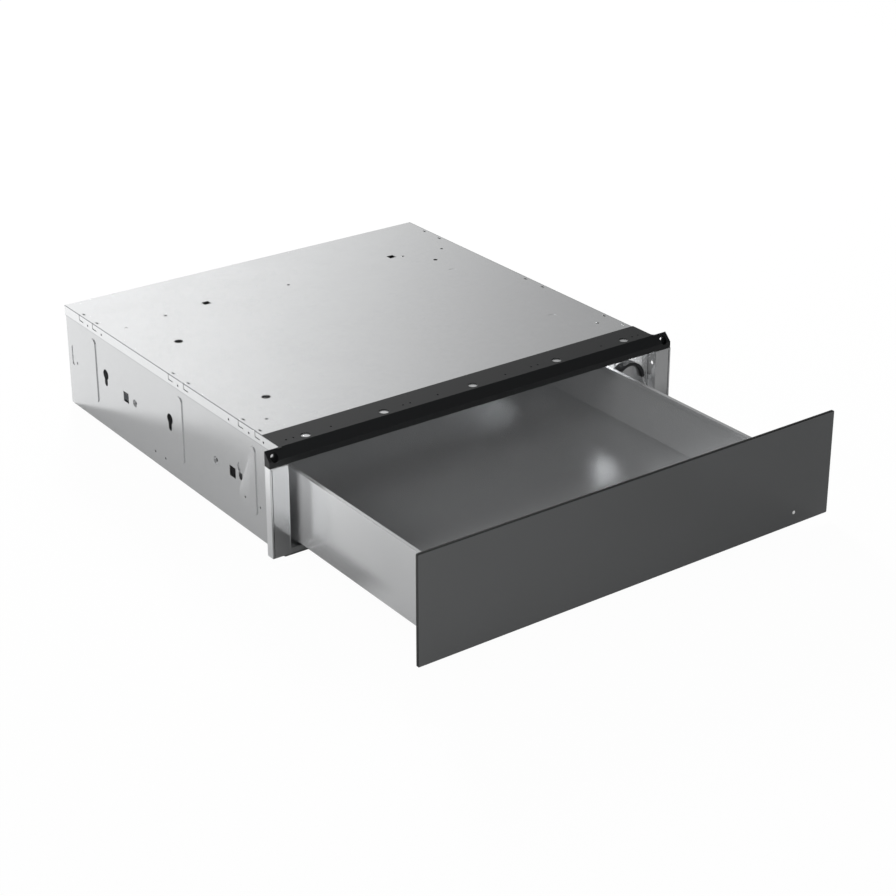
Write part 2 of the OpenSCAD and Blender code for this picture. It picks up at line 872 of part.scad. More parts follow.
sensor_r = 3;
sensor_l = 40;
sensor_side_share = 1 / 4;
sensor_x = heater_x0 + (heater_x1 - heater_x0) * sensor_side_share;

module temperature_sensor() {
    color([0.72, 0.45, 0.25]) in_drawer()
        rod_y([sensor_x, (heater_y0 + heater_y1 - sensor_l) / 2, mat_z - sensor_r], sensor_r, sensor_l);
}

// Controls beside the drawer box, behind the glass
control_t = 2;
control_drop = 9;
control_low = box_z;
control_top = rim_z - control_drop;
fascia_t = 2.5;
control_x0 = box_x1;
control_x1 = box_x1 + control_w;
control_y0 = wall_y;
control_y1 = wall_y + control_d;
knob_x = (control_x0 + control_x1) / 2;
knob_setback = 25;
knob_y = control_y0 + knob_setback;
shaft_r = 3;
shaft_l = 16;
knob_lift = 0.6;
knob_bore_depth = 7;
knob_mark = 1.2;
body_side = 26;
body_h = 20;

module control_housing() {
    color([0.25, 0.25, 0.26]) in_drawer() difference() {
        slab([control_x0, control_y0, control_low], [control_x1, control_y1, control_top]);
        slab([control_x0 + control_t, control_y0 + control_t, control_low + control_t],
             [control_x1 - control_t, control_y1 - control_t, control_top + over]);
        rod_y([pilot_x, control_y0 - over, pilot_z], pilot_r + gap, control_t + 2 * over);
    }
}

module control_fascia() {
    color([0.25, 0.25, 0.26]) in_drawer() difference() {
        slab([control_x0, control_y0, control_top], [control_x1, control_y1, control_top + fascia_t]);
        translate([knob_x, knob_y, control_top - over])
            cylinder(r = shaft_r + running, h = fascia_t + 2 * over);
    }
}

module temperature_knob() {
    low = control_top + fascia_t + knob_lift;
    ribs = 18;
    color(black) in_drawer() translate([knob_x, knob_y, low]) difference() {
        cylinder(r = knob_r, h = knob_h);
        translate([0, 0, -over]) cylinder(r = shaft_r, h = knob_bore_depth + over);
        for (i = [1 : ribs - 1]) {
            rotate(i * 360 / ribs - 90) translate([knob_r, 0, -over])
                cylinder(r = knob_mark, h = knob_h + 2 * over);
        }
        translate([-knob_mark / 2, -knob_r - over, knob_h - knob_mark / 2])
            cube([knob_mark, knob_r + over, knob_h]);
    }
}

module knob_shaft() {
    top = control_top + fascia_t + knob_lift + knob_bore_depth;
    color(steel) in_drawer() translate([knob_x, knob_y, top - shaft_l]) cylinder(r = shaft_r, h = shaft_l);
}

module thermostat_body() {
    color([0.90, 0.88, 0.80]) in_drawer() difference() {
        slab([knob_x - body_side / 2, knob_y - body_side / 2 + control_t, control_top - body_h],
             [knob_x + body_side / 2, knob_y + body_side / 2 + control_t, control_top]);
        translate([knob_x, knob_y, control_top - body_h - over])
            cylinder(r = shaft_r + running, h = body_h + 2 * over);
    }
}

lens_inset = 0.2;
lamp_l = 12;
lamp_r = 3;

module pilot_lens() {
    color([0.80, 0.82, 0.82]) in_drawer()
        rod_y([pilot_x, lens_inset - panel_t, pilot_z],
              pilot_r, panel_t - lens_inset + control_y0 + control_t);
}

module pilot_lamp() {
    y0 = control_y0 + control_t;
    color([0.90, 0.60, 0.20]) in_drawer() union() {
        rod_y([pilot_x, y0, pilot_z], lamp_r, lamp_l);
        slab([pilot_x - lamp_r, y0 + lamp_l / 2, control_low + control_t],
             [pilot_x + lamp_r, y0 + lamp_l, pilot_z]);
    }
}

// Wiring guide on the drawer's right side, where the supply lead reaches the drawer
guide_share = 0.629;
guide_clear = 3;
guide_t = 4;
guide_w = 12;
guide_lower = 23;
guide_y = wall_y + box_d * guide_share;
guide_x = (box_x1 + side_in - 2 * casing_t) / 2;
guide_r = guide_x - box_x1 - guide_clear - guide_t / 2;
guide_z = rim_z - guide_lower;
guide_plate = 1.2;
guide_drop = 34;
guide_leg_w = 9;
guide_foot_w = 24;

module wiring_bracket() {
    low = guide_z - guide_drop;
    inner = guide_r - guide_t / 2;
    color(steel) in_drawer() union() {
        xz_plate(guide_y - guide_plate / 2, guide_plate) {
            translate([guide_x, guide_z]) circle(r = inner);
            translate([guide_x - inner, low]) square([2 * inner, guide_drop]);
            translate([box_x1, low]) square([guide_x - box_x1, guide_drop / 2]);
        }
        slab([box_x1, guide_y - guide_foot_w / 2, low],
             [box_x1 + guide_plate, guide_y + guide_foot_w / 2, low + guide_drop / 2]);
        slab([guide_x + inner - guide_plate, guide_y - guide_leg_w, low],
             [guide_x + inner, guide_y, guide_z]);
    }
}

module wiring_guide() {
    color(black) in_drawer() translate([guide_x, guide_y, guide_z]) rotate([90, 0, 0])
        rotate_extrude(angle = 180)
            translate([guide_r - guide_t / 2, -guide_w / 2]) square([guide_t, guide_w]);
}

// Push latch behind the drawer
latch_lift = 24;
latch_z = floor_z + latch_lift;
striker_t = 3;
striker_side = 20;
latch_tip_gap = 0.3;
push_in = 2;
plunger_r = 4;
plunger_out = 10;
latch_w = 30;
latch_h = 22;
latch_screw_side = 11;
striker_y = panel_back_y + box_end + striker_t + push_in;
plunger_y = striker_y + latch_tip_gap;
latch_y0 = plunger_y + plunger_out;
spring_r = 3;
spring_t = 0.8;

module latch_striker() {
    color(black) in_drawer()
        slab([box_mid - striker_side / 2, box_end, latch_z - striker_side / 2],
             [box_mid + striker_side / 2, box_end + striker_t, latch_z + striker_side / 2]);
}

module latch_housing() {
    color([0.35, 0.35, 0.36]) difference() {
        slab([box_mid - latch_w / 2, latch_y0, latch_z - latch_h / 2],
             [box_mid + latch_w / 2, rear_in, latch_z + latch_h / 2]);
        rod_y([box_mid, latch_y0 - over, latch_z], plunger_r + running,
              rear_in - latch_y0 - control_t + over);
        for (side = [-1, 1]) {
            rod_y([box_mid + side * latch_screw_side, rear_in - screw_tail - over, latch_z],
                  screw_hole_r, screw_tail + 2 * over);
        }
    }
}

module latch_plunger() {
    body_l = (rear_in - latch_y0) / 2;
    color([0.85, 0.85, 0.85]) difference() {
        rod_y([box_mid, plunger_y, latch_z], plunger_r, plunger_out + body_l);
        rod_y([box_mid, plunger_y + plunger_out, latch_z], spring_r + gap, body_l + over);
    }
}

module latch_spring() {
    y1 = rear_in - control_t;
    y0 = plunger_y + plunger_out + latch_travel + gap;
    color(steel) difference() {
        rod_y([box_mid, y0, latch_z], spring_r, y1 - y0);
        rod_y([box_mid, y0 - over, latch_z], spring_r - spring_t, y1 - y0 + 2 * over);
    }
}

// Mains connection in the rear right corner
terminal_low = 18;
terminal_high = 78;
terminal_d = 44;
terminal_y0 = rear_in - terminal_d;
terminal_t = 2;
terminal_screw_inset = 8;
terminal_screw_z = [terminal_low + terminal_screw_inset, terminal_high - terminal_screw_inset];
lid_boss = 8;
lid_boss_l = 12;
block_w = 26;
block_d = 14;
block_h = 12;
lid_t = 2;

// The lid's two screws, in opposite corners
module lid_screw_places(y) {
    edge = lid_boss / 2;
    translate([terminal_x + edge, y, terminal_high - edge]) rotate([90, 0, 0]) children();
    translate([terminal_x + terminal_w - edge, y, terminal_low + edge]) rotate([90, 0, 0]) children();
}

module terminal_box() {
    inner_x = terminal_x + terminal_t;
    boss_x = terminal_x + terminal_w - lid_boss;
    color([0.30, 0.30, 0.31]) difference() {
        union() {
            difference() {
                slab([terminal_x, terminal_y0, terminal_low],
                     [terminal_x + terminal_w, rear_in, terminal_high]);
                slab([inner_x, terminal_y0 - over, terminal_low + terminal_t],
                     [terminal_x + terminal_w - terminal_t, rear_in - terminal_t, terminal_high - terminal_t]);
            }
            slab([terminal_x, terminal_y0, terminal_high - lid_boss],
                 [terminal_x + lid_boss, terminal_y0 + lid_boss_l, terminal_high]);
            slab([boss_x, terminal_y0, terminal_low],
                 [terminal_x + terminal_w, terminal_y0 + lid_boss_l, terminal_low + lid_boss]);
        }
        rod_y([gland_x, rear_in - terminal_t - over, gland_z], gland_thread_r + running,
              terminal_t + 2 * over);
        for (z = terminal_screw_z) {
            rod_y([gland_x, rear_in - terminal_t - over, z], screw_hole_r, terminal_t + 2 * over);
        }
        lid_screw_places(terminal_y0) translate([0, 0, -screw_tail - over])
            cylinder(r = screw_hole_r, h = screw_tail + 2 * over);
    }
}

module terminal_lid() {
    color([0.30, 0.30, 0.31]) difference() {
        slab([terminal_x, terminal_y0 - lid_t, terminal_low],
             [terminal_x + terminal_w, terminal_y0, terminal_high]);
        lid_screw_places(terminal_y0) translate([0, 0, -over])
            cylinder(r = screw_hole_r, h = lid_t + 2 * over);
    }
}

module lid_screws() {
    color(dark_steel) lid_screw_places(terminal_y0 - lid_t) screw(lid_t + screw_tail);
}

module terminal_block() {
    x0 = terminal_x + (terminal_w - block_w) / 2;
    color([0.92, 0.92, 0.90])
        slab([x0, terminal_y0 + block_d, terminal_high - terminal_t - block_h],
             [x0 + block_w, terminal_y0 + 2 * block_d, terminal_high - terminal_t]);
}

module rear_screw(x, z, length) {
    translate([x, rear_in + casing_t, z]) rotate([-90, 0, 0]) screw(length);
}

module rear_screws() {
    color(dark_steel) {
        for (z = terminal_screw_z) {
            rear_screw(gland_x, z, casing_t + terminal_t);
        }
        for (side = [-1, 1]) {
            rear_screw(box_mid + side * latch_screw_side, latch_z, casing_t + screw_tail);
        }
    }
}

module cable_gland() {
    low = rear_in - terminal_t - gland_in;
    color(black) difference() {
        union() {
            rod_y([gland_x, low, gland_z], gland_thread_r, gland_in + terminal_t + casing_t);
            rod_y([gland_x, rear_in + casing_t, gland_z], gland_head_r, gland_out);
        }
        rod_y([gland_x, low - over, gland_z], gland_bore_r,
              gland_in + terminal_t + casing_t + gland_out + 2 * over);
    }
}

module gland_nut() {
    y0 = rear_in - terminal_t - nut_h;
    color(black) difference() {
        translate([gland_x, y0, gland_z]) rotate([-90, 0, 0]) cylinder(r = nut_r, h = nut_h, $fn = 6);
        rod_y([gland_x, y0 - over, gland_z], gland_thread_r + running, nut_h + 2 * over);
    }
}

base_tray();
left_side_panel();
right_side_panel();
rear_panel();
top_cover();
air_deflector_rail();
left_front_column();
right_front_column();
front_crossbar();
left_slide_bracket();
right_slide_bracket();
bracket_screws();
crossbar_screws();
left_fixed_slide();
right_fixed_slide();
left_middle_slide();
right_middle_slide();
left_drawer_slide();
right_drawer_slide();
left_outer_cage();
right_outer_cage();
left_inner_cage();
right_inner_cage();
slide_screws();
glass_front();
front_backing_plate();
drawer_front_wall();
drawer_left_wall();
drawer_right_wall();
drawer_back_wall();
drawer_floor();
front_screws();
heating_mat();
insulation_pad();
heater_cover();
thermal_cutout();
temperature_sensor();
control_housing();
control_fascia();
temperature_knob();
knob_shaft();
thermostat_body();
pilot_lens();
pilot_lamp();
wiring_bracket();
wiring_guide();
latch_striker();
latch_housing();
latch_plunger();
latch_spring();
terminal_box();
terminal_lid();
terminal_block();
lid_screws();
rear_screws();
cable_gland();
gland_nut();
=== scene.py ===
import math

import bmesh
import bpy
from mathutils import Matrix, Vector
from mathutils.geometry import tessellate_polygon


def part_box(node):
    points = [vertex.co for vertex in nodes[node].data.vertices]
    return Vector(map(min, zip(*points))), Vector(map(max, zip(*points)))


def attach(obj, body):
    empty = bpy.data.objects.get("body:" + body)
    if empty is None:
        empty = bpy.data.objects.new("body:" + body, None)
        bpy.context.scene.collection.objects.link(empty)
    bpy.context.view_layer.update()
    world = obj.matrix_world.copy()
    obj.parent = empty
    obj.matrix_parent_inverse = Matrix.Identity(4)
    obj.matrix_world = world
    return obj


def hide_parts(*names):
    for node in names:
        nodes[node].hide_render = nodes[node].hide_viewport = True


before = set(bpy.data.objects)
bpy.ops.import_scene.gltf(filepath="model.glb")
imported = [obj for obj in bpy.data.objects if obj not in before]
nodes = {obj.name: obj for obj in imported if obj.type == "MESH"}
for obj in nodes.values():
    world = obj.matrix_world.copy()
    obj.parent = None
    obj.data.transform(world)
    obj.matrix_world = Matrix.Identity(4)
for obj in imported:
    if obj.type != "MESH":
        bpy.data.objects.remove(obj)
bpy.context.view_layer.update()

mm = 0.001


# Casing: 0.8 mm sheet steel, cold rolled, galvanised thin and even, punched flat, folded on a
# press brake and hooked together by lanced tabs. It is a satin mirror with hardly any spangle,
# a faint rolling direction and small clouds where it has been handled.
sheet = 0.8 * mm


def linear(code):
    """The linear colour of an sRGB hex."""
    shares = [int(code[i:i + 2], 16) / 255 for i in (1, 3, 5)]
    return tuple(c / 12.92 if c <= 0.04045 else ((c + 0.055) / 1.055) ** 2.4
                 for c in shares) + (1.0,)


def add(owner, kind, links=None, **settings):
    """Adds a node to a material's or the world's tree, with its settings and what feeds it."""
    node = owner.node_tree.nodes.new(kind)
    for name, value in settings.items():
        setattr(node, name, value)
    for socket, value in (links or {}).items():
        if isinstance(value, bpy.types.NodeSocket):
            owner.node_tree.links.new(value, node.inputs[socket])
        else:
            node.inputs[socket].default_value = value
    return node


def start_finish(name, colour, roughness, metallic=0.0, **constants):
    """A material with the constant values on its shader, and its shader node."""
    finish = bpy.data.materials.new(name)
    finish.use_nodes = True
    shader = finish.node_tree.nodes["Principled BSDF"]
    shader.inputs["Base Color"].default_value = linear(colour)
    shader.inputs["Roughness"].default_value = roughness
    shader.inputs["Metallic"].default_value = metallic
    for socket, value in constants.items():
        shader.inputs[socket.replace("_", " ")].default_value = value
    return finish, shader


def join(finish, output, shader, socket):
    finish.node_tree.links.new(output, shader.inputs[socket])


def galvanised(name, light, dark, roughness, fold_shade_x=1.0, fold_shade_z=1.0, foot_shade_z=-1.0, metallic=0.85):
    """Electro galvanised cold rolled sheet, from a light and a dark tone of zinc.

    Painted shade: a fine grey line is painted along a fold, further out than the x limit and
    higher than the z limit, and along a cut edge, under the foot limit, as the shade of the
    fold's rounding and of the gap under the flange. The limits' defaults, in metres, are far
    outside the object, and leave the sheet plain."""
    finish, shader = start_finish(name, light, roughness, metallic)
    place = add(finish, "ShaderNodeTexCoord").outputs["Object"]
    cloud = add(finish, "ShaderNodeTexNoise", {
        "Vector": place, "Scale": 1 / (60 * mm), "Detail": 3.0})
    # The rolling lines are finer than a render shows, so they are drawn at 1.2 mm.
    along = add(finish, "ShaderNodeMapping", {"Vector": place, "Scale": (1.0, 0.03, 1.0)})
    rolled = add(finish, "ShaderNodeTexNoise", {
        "Vector": along.outputs["Vector"], "Scale": 1 / (1.2 * mm), "Detail": 2.0})
    spangle = add(finish, "ShaderNodeTexVoronoi", {"Vector": place, "Scale": 1 / (5 * mm)})
    grey = add(finish, "ShaderNodeSeparateColor", {"Color": spangle.outputs["Color"]})
    uneven = add(finish, "ShaderNodeMath", {
        0: grey.outputs["Red"], 1: cloud.outputs["Fac"]}, operation="MULTIPLY")
    tone = add(finish, "ShaderNodeMapRange", {
        "Value": uneven.outputs["Value"], "To Min": 0.0, "To Max": 0.35})
    colour = add(finish, "ShaderNodeMix", {
        "Factor": tone.outputs["Result"], "A": linear(light), "B": linear(dark)},
        data_type="RGBA")
    # Painted shade: a fine grey line is painted along the fold and along the cut edge at the
    # foot, where the fold's rounding and the gap below the flange would be shaded.
    axes = add(finish, "ShaderNodeSeparateXYZ", {"Vector": place})
    out = add(finish, "ShaderNodeMath", {0: axes.outputs["X"]}, operation="ABSOLUTE")
    beside = add(finish, "ShaderNodeMath", {
        0: out.outputs["Value"], 1: fold_shade_x}, operation="GREATER_THAN")
    above = add(finish, "ShaderNodeMath", {
        0: axes.outputs["Z"], 1: fold_shade_z}, operation="GREATER_THAN")
    painted_fold_shade = add(finish, "ShaderNodeMath", {
        0: beside.outputs["Value"], 1: above.outputs["Value"]}, operation="MULTIPLY")
    below = add(finish, "ShaderNodeMath", {
        0: axes.outputs["Z"], 1: foot_shade_z}, operation="LESS_THAN")
    edge = add(finish, "ShaderNodeMath", {
        0: painted_fold_shade.outputs["Value"], 1: below.outputs["Value"]}, operation="MAXIMUM")
    # Painted shade: the grey of the fold and cut edge lines.
    line = add(finish, "ShaderNodeMix", {
        "Factor": edge.outputs["Value"], "A": colour.outputs["Result"], "B": linear("#85878A")},
        data_type="RGBA")
    join(finish, line.outputs["Result"], shader, "Base Color")
    worn = add(finish, "ShaderNodeMapRange", {
        "Value": cloud.outputs["Fac"], "From Min": 0.3, "From Max": 0.7,
        "To Min": roughness - 0.02, "To Max": roughness + 0.03})
    join(finish, worn.outputs["Result"], shader, "Roughness")
    ripple = add(finish, "ShaderNodeBump", {
        "Strength": 0.03, "Distance": 0.05 * mm, "Height": rolled.outputs["Fac"]})
    join(finish, ripple.outputs["Normal"], shader, "Normal")
    return finish


side_zinc = galvanised("galvanised_side_sheet", "#D6D7D8", "#C8CACB", 0.16)
cover_zinc = galvanised("galvanised_cover_sheet", "#E8E9EA", "#DADCDD", 0.18)
column_zinc = galvanised("galvanised_column_sheet", "#EEEFF0", "#E4E6E7", 0.1, metallic=0.93)
cover_low, cover_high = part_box("top_cover")
# The cover's side folds and the foot of its side flanges carry the painted shade lines.
fold_shade_height, foot_shade_height = 0.7 * mm, 0.5 * mm
hood_zinc = galvanised("galvanised_folded_cover", "#EAEBEC", "#DCDEDF", 0.18,
                       fold_shade_x=cover_high.x - sheet, fold_shade_z=cover_high.z - fold_shade_height,
                       foot_shade_z=cover_low.z + foot_shade_height)


def dress(finish, *names):
    for name in names:
        mesh = nodes[name].data
        mesh.materials.clear()
        mesh.materials.append(finish)


dress(side_zinc, "left_side_panel", "right_side_panel", "base_tray", "rear_panel")
dress(hood_zinc, "top_cover")


# Inner steelwork: the brackets under the slides, the crossbar at the front edge of the tray
# and the two front columns are the same zinc coated sheet, folded to U, Z and L sections.
dress(side_zinc, "left_slide_bracket", "right_slide_bracket", "front_crossbar")
dress(column_zinc, "left_front_column", "right_front_column")


# Column hems: the outer and upper edges of each column's face are folded over to a flat hem,
# and its inner edge is turned. All stand 0.3 mm proud of the face, so that the closed glass
# front still clears them. A fold is burnished, and shines like the cover.
def strip(name, low, high, soft, finish, body="casing"):
    """A bar between two corners, with its edges rounded."""
    shape = bmesh.new()
    bmesh.ops.create_cube(shape, size=1)
    middle = (Vector(low) + Vector(high)) / 2
    size = Vector(high) - Vector(low)
    for vert in shape.verts:
        vert.co = Vector([vert.co[i] * size[i] for i in range(3)]) + middle
    bmesh.ops.bevel(shape, geom=list(shape.edges), offset=soft, segments=3, affect="EDGES",
                    profile=0.5)
    mesh = bpy.data.meshes.new(name)
    shape.to_mesh(mesh)
    shape.free()
    for face in mesh.polygons:
        face.use_smooth = True
    mesh.materials.append(finish)
    piece = bpy.data.objects.new(name, mesh)
    bpy.context.scene.collection.objects.link(piece)
    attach(piece, body)
    return piece


hands = (("left", -1), ("right", 1))
fold_soft, cut_soft = 0.25 * mm, 0.15 * mm
hem_w, hem_proud, hem_depth = 2.2 * mm, 0.3 * mm, 0.7 * mm
turned_w, turned_depth = 0.9 * mm, 0.5 * mm
# These three are measured down from the top of the column.
hem_head, top_hem_foot, below_top_hem = 0.2 * mm, 1.6 * mm, 1.7 * mm
for hand, sign in hands:
    low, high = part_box(hand + "_front_column")
    outer = low.x if sign < 0 else high.x
    inner = high.x if sign < 0 else low.x
    upright = sorted((outer, outer - sign * hem_w))
    strip(hand + "_column_hem", (upright[0], low.y - hem_proud, low.z),
          (upright[1], low.y + hem_depth, high.z - hem_head),
          fold_soft, cover_zinc)
    across = sorted((outer - sign * hem_w, inner))
    strip(hand + "_column_top_hem", (across[0], low.y - hem_proud, high.z - top_hem_foot),
          (across[1], low.y + hem_depth, high.z - hem_head),
          fold_soft, cover_zinc)
    turned = sorted((inner, inner + sign * turned_w))
    strip(hand + "_column_inner_edge", (turned[0], low.y - hem_proud, low.z),
          (turned[1], low.y + turned_depth, high.z - below_top_hem),
          cut_soft, cover_zinc)


# Keyhole plates: a small galvanised plate is spot welded behind the upper part of the front
# keyhole in each side, so that only the hole's foot stays dark.
plate_front, plate_back = -186 * mm, -166.2 * mm
plate_foot, plate_head = 69.5 * mm, 92 * mm
plate_outside, plate_inside = cover_high.x - 1.65 * mm, cover_high.x - 2.4 * mm
for hand, sign in hands:
    behind = sorted((sign * plate_outside, sign * plate_inside))
    strip(hand + "_keyhole_plate", (behind[0], plate_front, plate_foot),
          (behind[1], plate_back, plate_head), cut_soft, side_zinc)


# Cover gap shadows: a near black strip lies between each side flange of the cover and the side
# panel, as painted shadow of the gap, and shows as dark lines and dots in the flange's lanced
# tabs and pin holes. Its mottle is drawn at 0.6 mm.
gap_shadow, gap_shadow_shader = start_finish("painted_gap_shadow", "#191A1B", 0.85)
gap_shadow_place = add(gap_shadow, "ShaderNodeTexCoord").outputs["Object"]
gap_shadow_mottle = add(gap_shadow, "ShaderNodeTexVoronoi", {"Vector": gap_shadow_place, "Scale": 1 / (0.6 * mm)})
gap_shadow_tone = add(gap_shadow, "ShaderNodeMix", {
    "Factor": gap_shadow_mottle.outputs["Distance"], "A": linear("#1C1D1E"), "B": linear("#131414")},
    data_type="RGBA")
join(gap_shadow, gap_shadow_tone.outputs["Result"], gap_shadow_shader, "Base Color")
cover_shadow_face, cover_shadow_soft = 0.5 * mm, 0.1 * mm
cover_shadow_end, cover_shadow_foot, cover_shadow_head = 2 * mm, 1.5 * mm, 1 * mm
for hand, sign in hands:
    cover_shadow = sorted((sign * (cover_high.x - sheet), sign * (cover_high.x - cover_shadow_face)))
    strip(hand + "_cover_gap_shadow", (cover_shadow[0], cover_low.y + cover_shadow_end, cover_low.z + cover_shadow_foot),
          (cover_shadow[1], cover_high.y - cover_shadow_end, cover_high.z - cover_shadow_head),
          cover_shadow_soft, gap_shadow)


# Column gap shadows: a thin strip of the same near black, as painted shadow of the joint between
# each column's outer hem and its face, draws a dark line beside the bright hem.
column_shadow_w, column_shadow_proud, column_shadow_depth = 0.7 * mm, 0.15 * mm, 0.4 * mm
column_shadow_foot, column_shadow_soft = 0.5 * mm, 0.05 * mm
for hand, sign in hands:
    low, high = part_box(hand + "_front_column")
    outer = low.x if sign < 0 else high.x
    column_shadow = sorted((outer - sign * hem_w, outer - sign * (hem_w + column_shadow_w)))
    strip(hand + "_column_gap_shadow", (column_shadow[0], low.y - column_shadow_proud, low.z + column_shadow_foot),
          (column_shadow[1], low.y + column_shadow_depth, high.z - below_top_hem),
          column_shadow_soft, gap_shadow)


# Cover stiffener: a shallow channel spot welded under the cover's front left corner, whose
# web shows grey through the two holes above it.
cover_under = cover_high.z - sheet
stiff_left, stiff_right = -238 * mm, -194 * mm
stiff_front, stiff_back = -218 * mm, -112 * mm
web_top = cover_under - 2.2 * mm
strip("cover_stiffener_web", (stiff_left, stiff_front, web_top - sheet),
      (stiff_right, stiff_back, web_top), cut_soft, side_zinc)
for hand, flange_x in (("left", stiff_left), ("right", stiff_right - sheet)):
    strip("cover_stiffener_" + hand, (flange_x, stiff_front, web_top - sheet / 2),
          (flange_x + sheet, stiff_back, cover_under), cut_soft, side_zinc)


# Slides: full extension ball slides, rolled from cold rolled strip and bright zinc plated.
# The plating is smoother and bluer than the casing's, and the ball tracks show as fine
# drawn lines along the travel.
slide_plate, slide_shader = start_finish("bright_zinc_plated_slide", "#BFC4C8", 0.2, 0.9)
slide_place = add(slide_plate, "ShaderNodeTexCoord").outputs["Object"]
slide_along = add(slide_plate, "ShaderNodeMapping", {
    "Vector": slide_place, "Scale": (1.0, 0.02, 1.0)})
slide_lines = add(slide_plate, "ShaderNodeTexNoise", {
    "Vector": slide_along.outputs["Vector"], "Scale": 1 / (0.6 * mm), "Detail": 3.0})
slide_tone = add(slide_plate, "ShaderNodeMix", {
    "Factor": slide_lines.outputs["Fac"], "A": linear("#C6CBCF"), "B": linear("#AEB4B9")},
    data_type="RGBA")
join(slide_plate, slide_tone.outputs["Result"], slide_shader, "Base Color")
slide_rough = add(slide_plate, "ShaderNodeMapRange", {
    "Value": slide_lines.outputs["Fac"], "To Min": 0.16, "To Max": 0.28})
join(slide_plate, slide_rough.outputs["Result"], slide_shader, "Roughness")
for hand in ("left", "right"):
    dress(slide_plate, *(hand + part for part in (
        "_fixed_slide", "_middle_slide", "_drawer_slide", "_outer_cage", "_inner_cage")))


# Screws: pan head self tapping screws, bright zinc plated and clear passivated, which
# leaves a thin blue to straw tint that changes from head to head.
def ease_edges(width, *names):
    """Rounds the edges a little, so that each carries its thin line of light."""
    for name in names:
        piece = nodes[name]
        for face in piece.data.polygons:
            face.use_smooth = True
        baked = piece.data.attributes.get("custom_normal")
        if baked:
            piece.data.attributes.remove(baked)
        weld = piece.modifiers.new("joined_faces", "WELD")
        weld.merge_threshold = 0.002 * mm
        bevel = piece.modifiers.new("eased_edges", "BEVEL")
        bevel.width = width
        bevel.segments = 2
        bevel.limit_method = "ANGLE"
        bevel.angle_limit = math.radians(40)
        bevel.use_clamp_overlap = False
        bevel.harden_normals = True


screw_plate, screw_shader = start_finish("zinc_plated_screw", "#C3C6C4", 0.22, 1.0)
screw_place = add(screw_plate, "ShaderNodeTexCoord").outputs["Object"]
screw_cloud = add(screw_plate, "ShaderNodeTexNoise", {
    "Vector": screw_place, "Scale": 1 / (9 * mm), "Detail": 2.0})
screw_tone = add(screw_plate, "ShaderNodeMix", {
    "Factor": screw_cloud.outputs["Fac"], "A": linear("#BFC5CB"), "B": linear("#CFCBBB")},
    data_type="RGBA")
join(screw_plate, screw_tone.outputs["Result"], screw_shader, "Base Color")
screws = ("bracket_screws", "crossbar_screws", "front_screws", "lid_screws", "rear_screws",
          "slide_screws")
dress(screw_plate, *screws)
ease_edges(0.15 * mm, *screws)


# Mains entry: a moulded grey box and lid on the rear panel, a terminal block inside it, and a
# black polyamide gland with its nut. Mouldings have a fine spark eroded grain, which is finer
# than a render shows, so it is drawn at about 0.5 mm.
def moulded(name, light, dark, roughness, grain):
    """Injection moulded plastic, with spark eroded grain of the given size in metres."""
    finish, shader = start_finish(name, light, roughness)
    place = add(finish, "ShaderNodeTexCoord").outputs["Object"]
    cloud = add(finish, "ShaderNodeTexNoise", {
        "Vector": place, "Scale": 1 / (40 * mm), "Detail": 2.0})
    colour = add(finish, "ShaderNodeMix", {
        "Factor": cloud.outputs["Fac"], "A": linear(light), "B": linear(dark)},
        data_type="RGBA")
    join(finish, colour.outputs["Result"], shader, "Base Color")
    spark = add(finish, "ShaderNodeTexNoise", {
        "Vector": place, "Scale": 1 / grain, "Detail": 2.0})
    bump = add(finish, "ShaderNodeBump", {
        "Strength": 0.25, "Distance": 0.05 * mm, "Height": spark.outputs["Fac"]})
    join(finish, bump.outputs["Normal"], shader, "Normal")
    patch = add(finish, "ShaderNodeMapRange", {
        "Value": cloud.outputs["Fac"], "To Min": roughness - 0.05, "To Max": roughness + 0.05})
    join(finish, patch.outputs["Result"], shader, "Roughness")
    return finish


dress(moulded("grey_terminal_plastic", "#A9ABAC", "#9DA0A2", 0.45, 0.6 * mm),
      "terminal_box", "terminal_lid")
dress(moulded("white_polyamide_terminal", "#DAD8D0", "#CECBC1", 0.4, 0.5 * mm),
      "terminal_block")
dress(moulded("black_polyamide_gland", "#232425", "#1B1C1D", 0.42, 0.4 * mm),
      "cable_gland", "gland_nut")
ease_edges(0.3 * mm, "terminal_box", "terminal_lid", "terminal_block", "cable_gland",
           "gland_nut")


# Push latch: a white acetal housing on the rear panel with a grey plunger and a steel spring,
# and a rubber striker on the back wall of the drawer. The spring's wire is oil tempered, and
# its drawn surface is grey and half bright in patches of a millimetre.
dress(moulded("white_acetal_latch", "#D5D5D0", "#CACAC4", 0.38, 0.5 * mm), "latch_housing")
dress(moulded("grey_acetal_plunger", "#6F7274", "#666A6C", 0.35, 0.5 * mm), "latch_plunger")
dress(moulded("striker_rubber", "#2A2A2B", "#232324", 0.75, 0.4 * mm), "latch_striker")
spring_wire, spring_shader = start_finish("oiled_spring_wire", "#8D9093", 0.3, 1.0)
spring_place = add(spring_wire, "ShaderNodeTexCoord").outputs["Object"]
spring_noise = add(spring_wire, "ShaderNodeTexNoise", {
    "Vector": spring_place, "Scale": 1 / (1.0 * mm)})
spring_rough = add(spring_wire, "ShaderNodeMapRange", {
    "Value": spring_noise.outputs["Fac"], "To Min": 0.2, "To Max": 0.4})
join(spring_wire, spring_rough.outputs["Result"], spring_shader, "Roughness")
dress(spring_wire, "latch_spring")
ease_edges(0.3 * mm, "latch_housing", "latch_plunger")


